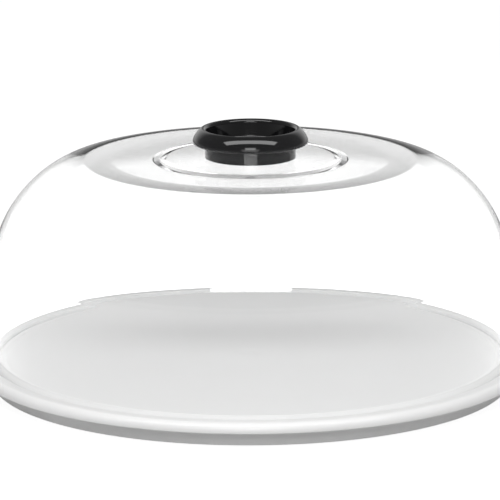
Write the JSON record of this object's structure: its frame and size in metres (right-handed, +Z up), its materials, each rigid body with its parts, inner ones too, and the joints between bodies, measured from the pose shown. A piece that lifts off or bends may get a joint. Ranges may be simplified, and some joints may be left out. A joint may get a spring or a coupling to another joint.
{
  "type": "cake dome with plate",
  "caption": "Round shallow plate with a lift-off clear dome that seats in a channel in the plate and carries an open cup-shaped knob.",
  "frame": {"origin": "on the table, under the centre of the plate", "axes": "+Z up, along the axis of the plate, the dome and the knob; +X and +Y towards two of the plate's equal sides, with one foot on +X"},
  "size_m": [0.32, 0.32, 0.1473],
  "materials": {
    "plate": "smooth white moulding, gloss",
    "feet": "matt pale grey soft pad",
    "dome": "clear, polished",
    "knob": "gloss black moulding",
    "insert": "turned",
    "seal": "matt soft ring",
    "fixing": "bright stainless"
  },
  "bodies": {
    "base": {"cake_plate": "plate", "non_slip_feet": "feet"},
    "lid": {"clear_dome": "dome", "knob": "knob", "knob_insert": "insert", "knob_seal": "seal", "knob_washer": "fixing", "knob_screw": "fixing"}
  },
  "joints": [
    {"name": "dome_lift", "type": "slide", "parent": "base", "child": "lid", "axis": [0, 0, 1], "range_m": [0, 0.16]}
  ]
}
